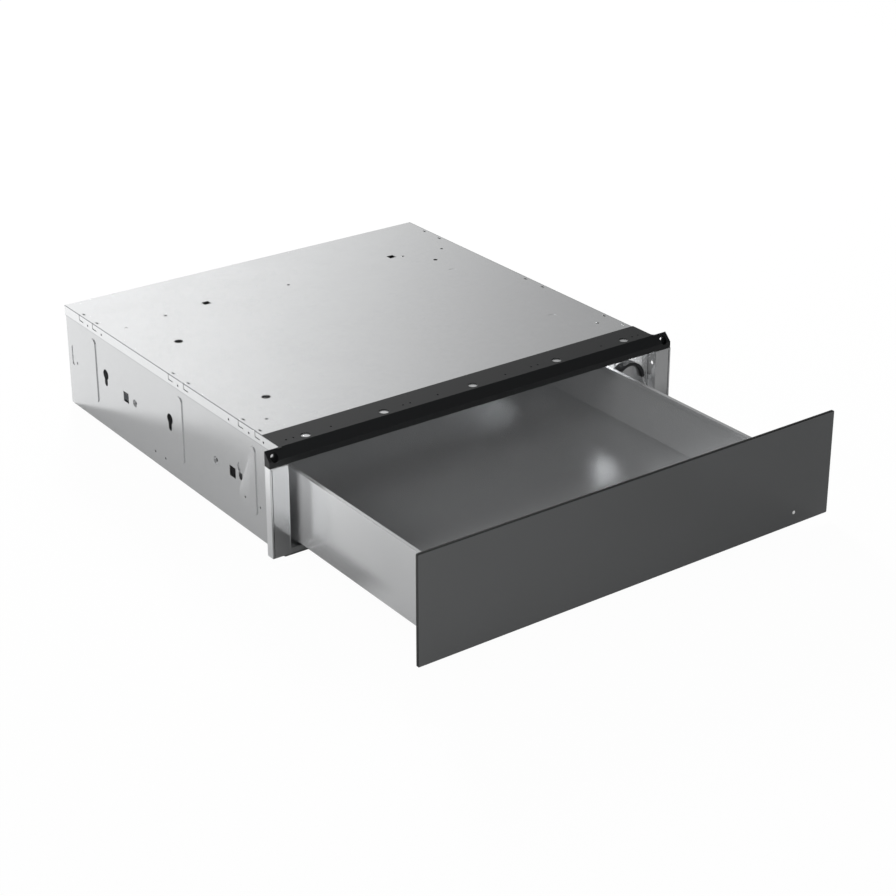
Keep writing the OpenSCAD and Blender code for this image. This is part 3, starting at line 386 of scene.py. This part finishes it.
# Drawer box: satin stainless steel, welded at the corners and polished. The cold rolled
# surface is a soft mirror with very fine lines along the drawer.
def satin_stainless(name, light, dark, metallic, roughness):
    """Cold rolled and satin polished stainless sheet, from a light and a dark tone."""
    finish, shader = start_finish(name, light, roughness, metallic)
    place = add(finish, "ShaderNodeTexCoord").outputs["Object"]
    cloud = add(finish, "ShaderNodeTexNoise", {
        "Vector": place, "Scale": 1 / (90 * mm), "Detail": 3.0})
    # The polishing lines are finer than a render shows, so they are drawn at 0.9 mm.
    along = add(finish, "ShaderNodeMapping", {"Vector": place, "Scale": (1.0, 0.015, 1.0)})
    lines = add(finish, "ShaderNodeTexNoise", {
        "Vector": along.outputs["Vector"], "Scale": 1 / (0.9 * mm), "Detail": 3.0})
    tone = add(finish, "ShaderNodeMix", {
        "Factor": cloud.outputs["Fac"], "A": linear(light), "B": linear(dark)},
        data_type="RGBA")
    join(finish, tone.outputs["Result"], shader, "Base Color")
    satin = add(finish, "ShaderNodeMapRange", {
        "Value": lines.outputs["Fac"], "To Min": roughness - 0.03, "To Max": roughness + 0.04})
    join(finish, satin.outputs["Result"], shader, "Roughness")
    bump = add(finish, "ShaderNodeBump", {
        "Strength": 0.03, "Distance": 0.05 * mm, "Height": lines.outputs["Fac"]})
    join(finish, bump.outputs["Normal"], shader, "Normal")
    return finish


wall_steel = satin_stainless("satin_stainless_wall", "#DBDCDD", "#D0D1D2", 0.8, 0.2)
floor_steel = satin_stainless("satin_stainless_floor", "#BABBBC", "#AFB0B1", 0.78, 0.21)
dress(wall_steel, "drawer_left_wall", "drawer_right_wall", "drawer_back_wall",
      "drawer_front_wall")
dress(floor_steel, "drawer_floor")


# Heater: a silicone heating mat under the drawer floor, a pad of pressed mineral wool below
# it, a galvanised cover that holds both, a thermal cut-out, and a sensor bulb of drawn copper
# that has browned in patches of a few millimetres.
dress(moulded("orange_silicone_mat", "#B4532C", "#A34A27", 0.6, 0.8 * mm), "heating_mat")
wool, wool_shader = start_finish("mineral_wool", "#CDBF94", 0.95)
wool_place = add(wool, "ShaderNodeTexCoord").outputs["Object"]
# The fibres are finer than a render shows, so they are drawn 1 mm wide and 5 mm long.
wool_along = add(wool, "ShaderNodeMapping", {"Vector": wool_place, "Scale": (0.2, 1.0, 1.0)})
wool_fibre = add(wool, "ShaderNodeTexNoise", {
    "Vector": wool_along.outputs["Vector"], "Scale": 1 / (1.0 * mm), "Detail": 6.0})
wool_tone = add(wool, "ShaderNodeMix", {
    "Factor": wool_fibre.outputs["Fac"], "A": linear("#D8CBA2"), "B": linear("#B09F70")},
    data_type="RGBA")
join(wool, wool_tone.outputs["Result"], wool_shader, "Base Color")
wool_bump = add(wool, "ShaderNodeBump", {
    "Strength": 0.8, "Distance": 0.6 * mm, "Height": wool_fibre.outputs["Fac"]})
join(wool, wool_bump.outputs["Normal"], wool_shader, "Normal")
dress(wool, "insulation_pad")
dress(side_zinc, "heater_cover")
dress(moulded("black_phenolic_cutout", "#262423", "#1E1C1B", 0.4, 0.5 * mm), "thermal_cutout")
copper, copper_shader = start_finish("drawn_copper_bulb", "#C77F5A", 0.28, 1.0)
copper_place = add(copper, "ShaderNodeTexCoord").outputs["Object"]
copper_noise = add(copper, "ShaderNodeTexNoise", {
    "Vector": copper_place, "Scale": 1 / (3 * mm), "Detail": 4.0})
copper_tone = add(copper, "ShaderNodeMix", {
    "Factor": copper_noise.outputs["Fac"], "A": linear("#C9835D"), "B": linear("#9C5F42")},
    data_type="RGBA")
join(copper, copper_tone.outputs["Result"], copper_shader, "Base Color")
dress(copper, "temperature_sensor")
ease_edges(0.25 * mm, "heater_cover", "thermal_cutout", "temperature_sensor")


# Control: a black housing beside the drawer box with a fascia on top, a thermostat hung
# under the fascia, and a ribbed knob on a steel shaft, which is turned and so has fine rings.
dress(moulded("black_control_plastic", "#2B2C2D", "#232425", 0.4, 0.5 * mm),
      "control_housing", "control_fascia")
dress(moulded("cream_thermostat_resin", "#C9C0A6", "#BCB296", 0.45, 0.5 * mm),
      "thermostat_body")
dress(moulded("dark_grey_knob_plastic", "#3A3B3C", "#323334", 0.38, 0.4 * mm),
      "temperature_knob")
shaft_steel, shaft_shader = start_finish("turned_steel_shaft", "#A9ABAD", 0.25, 1.0)
shaft_place = add(shaft_steel, "ShaderNodeTexCoord").outputs["Object"]
shaft_rings = add(shaft_steel, "ShaderNodeTexWave", {
    "Vector": shaft_place, "Scale": 1 / (1.0 * mm), "Distortion": 1.0}, bands_direction="Z")
shaft_rough = add(shaft_steel, "ShaderNodeMapRange", {
    "Value": shaft_rings.outputs["Fac"], "To Min": 0.2, "To Max": 0.35})
join(shaft_steel, shaft_rough.outputs["Result"], shaft_shader, "Roughness")
dress(shaft_steel, "knob_shaft")
ease_edges(0.3 * mm, "control_housing", "control_fascia", "thermostat_body",
           "temperature_knob", "knob_shaft")


# Wiring: a galvanised bracket on the drawer's right wall and an arched guide, moulded in
# black polyamide, which leads the control's wires round the front column.
dress(side_zinc, "wiring_bracket")
dress(moulded("black_guide_polyamide", "#242526", "#1C1D1E", 0.45, 0.4 * mm), "wiring_guide")
ease_edges(0.2 * mm, "wiring_bracket", "wiring_guide")


# Air deflector rail: one length of steel sheet folded to a shallow gutter, with an ear at
# each end, coated in black polyester powder. The coat has a fine orange peel.
powder, powder_shader = start_finish("black_powder_coat", "#161718", 0.42)
powder_place = add(powder, "ShaderNodeTexCoord").outputs["Object"]
powder_peel = add(powder, "ShaderNodeTexNoise", {
    "Vector": powder_place, "Scale": 1 / (1.4 * mm), "Detail": 1.0})
powder_speck = add(powder, "ShaderNodeTexNoise", {
    "Vector": powder_place, "Scale": 1 / (0.5 * mm), "Detail": 2.0})
powder_tone = add(powder, "ShaderNodeMix", {
    "Factor": powder_speck.outputs["Fac"], "A": linear("#18191A"), "B": linear("#111213")},
    data_type="RGBA")
join(powder, powder_tone.outputs["Result"], powder_shader, "Base Color")
powder_bump = add(powder, "ShaderNodeBump", {
    "Strength": 0.15, "Distance": 0.1 * mm, "Height": powder_peel.outputs["Fac"]})
join(powder, powder_bump.outputs["Normal"], powder_shader, "Normal")
dress(powder, "air_deflector_rail")


# Front: a galvanised backing plate screwed to the drawer box, and 4 mm toughened glass bonded to
# it. The glass is enamelled dark grey on its back, and its edges are ground. Every face but the
# front, the edges among them, is painted near black, as painted shade of the glass's dark edges.
dress(side_zinc, "front_backing_plate")
glass, glass_shader = start_finish("enamelled_front_glass", "#3B3C3D", 0.3, IOR=1.52)
glass_place = add(glass, "ShaderNodeTexCoord").outputs["Object"]
glass_face = add(glass, "ShaderNodeNewGeometry").outputs["Normal"]
glass_out = add(glass, "ShaderNodeSeparateXYZ", {"Vector": glass_face})
faces_front = -0.9
glass_front = add(glass, "ShaderNodeMath", {
    0: glass_out.outputs["Y"], 1: faces_front}, operation="LESS_THAN")
glass_cloud = add(glass, "ShaderNodeTexNoise", {
    "Vector": glass_place, "Scale": 1 / (120 * mm), "Detail": 2.0})
glass_enamel = add(glass, "ShaderNodeMix", {
    "Factor": glass_cloud.outputs["Fac"], "A": linear("#4B4C4D"), "B": linear("#474848")},
    data_type="RGBA")
# Painted shade: near black on every face that doesn't face the front.
glass_tone = add(glass, "ShaderNodeMix", {
    "Factor": glass_front.outputs["Value"], "A": linear("#0B0C0C"),
    "B": glass_enamel.outputs["Result"]}, data_type="RGBA")
join(glass, glass_tone.outputs["Result"], glass_shader, "Base Color")
glass_rough = add(glass, "ShaderNodeMapRange", {
    "Value": glass_cloud.outputs["Fac"], "To Min": 0.28, "To Max": 0.33})
join(glass, glass_rough.outputs["Result"], glass_shader, "Roughness")

glass_low, glass_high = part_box("glass_front")
lens_low, lens_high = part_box("pilot_lens")


def ring(verts, depth, inset, corner, steps=6):
    """A rounded rectangle of the glass at one depth, inset from its edge."""
    corners = ((glass_high.x, -1, glass_high.z, -1, 0), (glass_low.x, 1, glass_high.z, -1, 90),
               (glass_low.x, 1, glass_low.z, 1, 180), (glass_high.x, -1, glass_low.z, 1, 270))
    radius = corner - inset
    found = []
    for corner_x, inward_x, corner_z, inward_z, start in corners:
        for i in range(steps + 1):
            turn = math.radians(start + 90 * i / steps)
            found.append(len(verts))
            verts.append((corner_x + inward_x * corner + radius * math.cos(turn), depth,
                          corner_z + inward_z * corner + radius * math.sin(turn)))
    return found


def hole(verts, depth, radius, steps=32):
    """The rim of the pilot light's bore at one depth."""
    middle = (lens_low + lens_high) / 2
    found = []
    for i in range(steps):
        turn = 2 * math.pi * i / steps
        found.append(len(verts))
        verts.append((middle.x + radius * math.cos(turn), depth,
                      middle.z + radius * math.sin(turn)))
    return found


def band(faces, first, second):
    """Faces between two rims of the same count."""
    count = len(first)
    for i in range(count):
        after = (i + 1) % count
        faces.append((first[i], first[after], second[after], second[i]))


ground, glass_corner, bore_gap = 0.5 * mm, 1.6 * mm, 0.15 * mm
bore = (lens_high.x - lens_low.x) / 2 + bore_gap
verts, faces = [], []
front_edge = ring(verts, glass_low.y, ground, glass_corner)
front_side = ring(verts, glass_low.y + ground, 0, glass_corner)
back_side = ring(verts, glass_high.y - ground, 0, glass_corner)
back_edge = ring(verts, glass_high.y, ground, glass_corner)
front_bore = hole(verts, glass_low.y, bore)
back_bore = hole(verts, glass_high.y, bore)
band(faces, front_edge, front_side)
band(faces, front_side, back_side)
band(faces, back_side, back_edge)
band(faces, back_bore, front_bore)
for edge, round_hole in ((front_edge, front_bore), (back_edge, back_bore)):
    flat = [[Vector((verts[i][0], verts[i][2], 0)) for i in loop] for loop in (edge, round_hole)]
    order = edge + round_hole
    for a, b, c in tessellate_polygon(flat):
        faces.append((order[a], order[b], order[c]))
pane_mesh = bpy.data.meshes.new("front_glass_pane")
pane_mesh.from_pydata(verts, [], faces)
shape = bmesh.new()
shape.from_mesh(pane_mesh)
bmesh.ops.recalc_face_normals(shape, faces=shape.faces)
shape.to_mesh(pane_mesh)
shape.free()
pane_mesh.materials.append(glass)
front_glass_pane = bpy.data.objects.new("front_glass_pane", pane_mesh)
bpy.context.scene.collection.objects.link(front_glass_pane)
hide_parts("glass_front")
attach(front_glass_pane, "drawer")


# Pilot light: a clear lens, frosted on its face, is set through the glass, and the lamp in
# white resin stands behind it. The frost is drawn at 0.5 mm, coarser than it is, to show.
lens, lens_shader = start_finish("frosted_lens", "#D2D3D2", 0.35)
lens_place = add(lens, "ShaderNodeTexCoord").outputs["Object"]
lens_frost = add(lens, "ShaderNodeTexNoise", {
    "Vector": lens_place, "Scale": 1 / (0.5 * mm), "Detail": 2.0})
lens_tone = add(lens, "ShaderNodeMix", {
    "Factor": lens_frost.outputs["Fac"], "A": linear("#DADBDA"), "B": linear("#BEBFBE")},
    data_type="RGBA")
join(lens, lens_tone.outputs["Result"], lens_shader, "Base Color")
dress(lens, "pilot_lens")
dress(moulded("white_lamp_resin", "#D8D6CE", "#CBC9C0", 0.4, 0.5 * mm), "pilot_lamp")


# Studio: a pale floor that the drawer stands on, a white room, and soft light. The room
# is brightest behind and to the left, and falls off to the right, as one large window does.
floor_mesh = bpy.data.meshes.new("studio_floor")
reach = 6.0
floor_mesh.from_pydata([(-reach, -reach, 0), (reach, -reach, 0), (reach, reach, 0),
                        (-reach, reach, 0)], [], [(0, 1, 2, 3)])
studio_floor = bpy.data.objects.new("studio_floor", floor_mesh)
# A hair's gap keeps the floor and the tray's underside from showing through each other.
studio_floor.location.z = -0.6 * mm
bpy.context.scene.collection.objects.link(studio_floor)
paper = bpy.data.materials.new("pale_floor_paper")
paper.use_nodes = True
paper.node_tree.nodes.clear()
paper_seen = add(paper, "ShaderNodeLightPath")
paper_place = add(paper, "ShaderNodeTexCoord").outputs["Object"]
paper_axes = add(paper, "ShaderNodeSeparateXYZ", {"Vector": paper_place})
# The window's light fades across the floor, which only a reflection shows.
paper_fade = add(paper, "ShaderNodeMapRange", {
    "Value": paper_axes.outputs["X"], "From Min": -0.25, "From Max": 0.45,
    "To Min": 1.0, "To Max": 0.22}, interpolation_type="SMOOTHSTEP")
# A painted contact shadow lies on the floor under the drawer box. Only mirrors see it, and it
# shows in the feet of the columns. Its left and back edges are given in metres.
shadow_left, shadow_back = -0.3, -0.265
paper_painted_shadow = add(paper, "ShaderNodeMapRange", {
    "Value": paper_axes.outputs["Y"], "From Min": -0.42, "From Max": -0.34,
    "To Min": 1.0, "To Max": 0.1}, interpolation_type="SMOOTHSTEP")
paper_inside = add(paper, "ShaderNodeMath", {
    0: paper_axes.outputs["X"], 1: shadow_left}, operation="GREATER_THAN")
paper_before = add(paper, "ShaderNodeMath", {
    0: paper_axes.outputs["Y"], 1: shadow_back}, operation="LESS_THAN")
paper_there = add(paper, "ShaderNodeMath", {
    0: paper_inside.outputs["Value"], 1: paper_before.outputs["Value"]}, operation="MULTIPLY")
paper_shadowed = add(paper, "ShaderNodeMix", {
    "Factor": paper_there.outputs["Value"], "A": 1.0, "B": paper_painted_shadow.outputs["Result"]},
    data_type="FLOAT")
paper_shown = add(paper, "ShaderNodeMath", {
    0: paper_fade.outputs["Result"], 1: paper_shadowed.outputs["Result"]}, operation="MULTIPLY")
# The camera sees the floor as nearly plain white, which leaves it the drawer's shadow, and
# the metal sees it mostly as lit paper.
camera_white, mirror_white = 0.975, 0.1
paper_direct = add(paper, "ShaderNodeMath", {
    0: paper_seen.outputs["Is Camera Ray"], 1: camera_white}, operation="MULTIPLY")
paper_mirror = add(paper, "ShaderNodeMath", {
    0: paper_seen.outputs["Is Glossy Ray"], 1: mirror_white}, operation="MULTIPLY")
paper_either = add(paper, "ShaderNodeMath", {
    0: paper_direct.outputs["Value"], 1: paper_mirror.outputs["Value"]}, operation="MAXIMUM")
paper_share = add(paper, "ShaderNodeMath", {
    0: paper_either.outputs["Value"], 1: paper_seen.outputs["Is Transmission Ray"]},
    operation="MAXIMUM")
paper_level = add(paper, "ShaderNodeMix", {
    "Factor": paper_seen.outputs["Is Glossy Ray"], "A": 1.0,
    "B": paper_shown.outputs["Value"]}, data_type="FLOAT")
paper_grey = add(paper, "ShaderNodeMix", {
    "Factor": paper_level.outputs["Result"], "A": linear("#404040"), "B": linear("#EEEEEE")},
    data_type="RGBA")
paper_matt = add(paper, "ShaderNodeBsdfDiffuse", {"Color": paper_grey.outputs["Result"]})
white = (1.0, 1.0, 1.0, 1.0)
paper_white = add(paper, "ShaderNodeEmission", {
    "Color": white, "Strength": paper_level.outputs["Result"]})
paper_mix = add(paper, "ShaderNodeMixShader", {
    0: paper_share.outputs["Value"], 1: paper_matt.outputs["BSDF"],
    2: paper_white.outputs["Emission"]})
add(paper, "ShaderNodeOutputMaterial", {"Surface": paper_mix.outputs["Shader"]})
floor_mesh.materials.append(paper)

room = bpy.context.scene.world or bpy.data.worlds.new("white_room")
bpy.context.scene.world = room
room.use_nodes = True
room.node_tree.nodes.clear()
room_way = add(room, "ShaderNodeTexCoord").outputs["Generated"]


def towards(azimuth, height):
    """The direction at an azimuth, clockwise from the back, and a height, both in degrees."""
    across, up = math.radians(azimuth), math.radians(height)
    return Vector((math.sin(across) * math.cos(up), math.cos(across) * math.cos(up),
                   math.sin(up)))


# The wall is dark in front and to the right, and bright from the window on.
room_near = add(room, "ShaderNodeVectorMath", {
    0: room_way, 1: towards(148.4, 4.9)}, operation="DOT_PRODUCT")
room_fall = add(room, "ShaderNodeMapRange", {
    "Value": room_near.outputs["Value"], "From Min": -0.5, "From Max": -0.222,
    "To Min": 1.0, "To Max": 0.224}, interpolation_type="SMOOTHSTEP")
# The ceiling is dark on that side too.
room_over = add(room, "ShaderNodeVectorMath", {
    0: room_way, 1: towards(132, 50)}, operation="DOT_PRODUCT")
room_dim = add(room, "ShaderNodeMapRange", {
    "Value": room_over.outputs["Value"], "From Min": 0.65, "From Max": 0.9,
    "To Min": 1.0, "To Max": 0.1}, interpolation_type="SMOOTHSTEP")
room_both = add(room, "ShaderNodeMath", {
    0: room_fall.outputs["Result"], 1: room_dim.outputs["Result"]}, operation="MULTIPLY")
# Past the window the wall is a little darker, so the cover stays grey from other sides.
room_past = add(room, "ShaderNodeMapRange", {
    "Value": room_near.outputs["Value"], "From Min": -0.78, "From Max": -0.51,
    "To Min": 0.72, "To Max": 1.0}, interpolation_type="SMOOTHSTEP")
room_mirror = add(room, "ShaderNodeMath", {
    0: room_both.outputs["Value"], 1: room_past.outputs["Result"]}, operation="MULTIPLY")
room_seen = add(room, "ShaderNodeLightPath")
room_clear = add(room, "ShaderNodeMath", {
    0: room_seen.outputs["Is Camera Ray"], 1: room_seen.outputs["Is Transmission Ray"]},
    operation="MAXIMUM")
# Matt surfaces are lit more from above than from the horizon, so the light fades in under
# the drawer and along the foot of the casing.
room_axes = add(room, "ShaderNodeSeparateXYZ", {"Vector": room_way})
room_height = add(room, "ShaderNodeMapRange", {
    "Value": room_axes.outputs["Z"], "To Min": 0.14, "To Max": 0.64})
room_soft = add(room, "ShaderNodeMix", {
    "Factor": room_seen.outputs["Is Glossy Ray"], "A": room_height.outputs["Result"],
    "B": room_mirror.outputs["Value"]}, data_type="FLOAT")
room_light = add(room, "ShaderNodeMix", {
    "Factor": room_clear.outputs["Value"], "A": room_soft.outputs["Result"], "B": 1.0},
    data_type="FLOAT")
room_back = add(room, "ShaderNodeBackground", {
    "Color": white, "Strength": room_light.outputs["Result"]})
add(room, "ShaderNodeOutputWorld", {"Surface": room_back.outputs["Background"]})


def soft_lamp(name, place, aim, size, power, lit=None):
    """A rectangular lamp of the given watts, which lights all, or what one collection says."""
    lamp = bpy.data.lights.new(name, "AREA")
    lamp.shape = "RECTANGLE"
    lamp.size, lamp.size_y = size
    lamp.energy = power
    holder = bpy.data.objects.new(name, lamp)
    holder.location = place
    holder.rotation_euler = (Vector(aim) - Vector(place)).to_track_quat("-Z", "Y").to_euler()
    # The lamps light the matt share alone: what the metal mirrors is the room.
    holder.visible_camera = False
    holder.visible_glossy = False
    bpy.context.scene.collection.objects.link(holder)
    if lit:
        holder.light_linking.receiver_collection = lit


off_floor = bpy.data.collections.new("not_lit_by_the_fills")
off_floor.objects.link(studio_floor)
off_floor.collection_objects[0].light_linking.link_state = "EXCLUDE"
left_corner = bpy.data.collections.new("lit_at_the_left_corner")
right_gap = bpy.data.collections.new("lit_in_the_right_gap")
for group, names in (
        (left_corner, ("drawer_left_wall", "left_front_column")),
        (right_gap, ("wiring_guide", "wiring_bracket", "right_side_panel",
                     "right_front_column"))):
    for name in names:
        group.objects.link(nodes[name])
soft_lamp("window_lamp", (0.9, 2.25, 1.4), (0, 0, 0), (0.6, 0.6), 95)
soft_lamp("front_softbox", (-0.3, -2.4, 1.2), (0, -0.3, 0), (1.4, 1.4), 26, off_floor)
soft_lamp("left_softbox", (-2.3, -0.9, 1.2), (0, -0.3, 0), (1.2, 1.2), 42, off_floor)
# A render follows few of the many bounces between bright sheets, so weak lamps under the
# cover, in the gaps beside the drawer and at its left corner stand for the rest.
soft_lamp("bounce_lamp", (0, -0.165, 0.13), (0, -0.165, 0), (0.53, 0.2), 0.14, off_floor)
soft_lamp("left_gap_lamp", (-0.2665, -0.19, 0.075), (-0.2744, -0.2, 0.07), (0.06, 0.06),
          0.08, off_floor)
soft_lamp("right_gap_lamp", (0.246, -0.17, 0.118), (0.246, -0.24, 0.09), (0.04, 0.04),
          0.8, right_gap)
soft_lamp("left_corner_lamp", (-0.37, -0.31, 0.14), (-0.2588, -0.3, 0.06), (0.08, 0.08),
          0.28, left_corner)


# Camera: a long lens at the photograph's place, in front and to the left, looking down. It is
# pitched, so its shift stays small and other views keep the object in the frame.
pitch_down, turned_right = math.radians(23.182), math.radians(36.096)
camera_data = bpy.data.cameras.new("camera")
camera_data.lens = 84.097
camera_data.sensor_width = 36
camera_data.shift_y = -0.1
camera_data.clip_end = 50
camera = bpy.data.objects.new("camera", camera_data)
camera.location = (-1.369337, -2.084763, 1.152627)
camera.rotation_euler = (math.radians(90) - pitch_down, 0, -turned_right)
bpy.context.scene.collection.objects.link(camera)
bpy.context.scene.camera = camera
bpy.context.scene.view_settings.view_transform = "Standard"
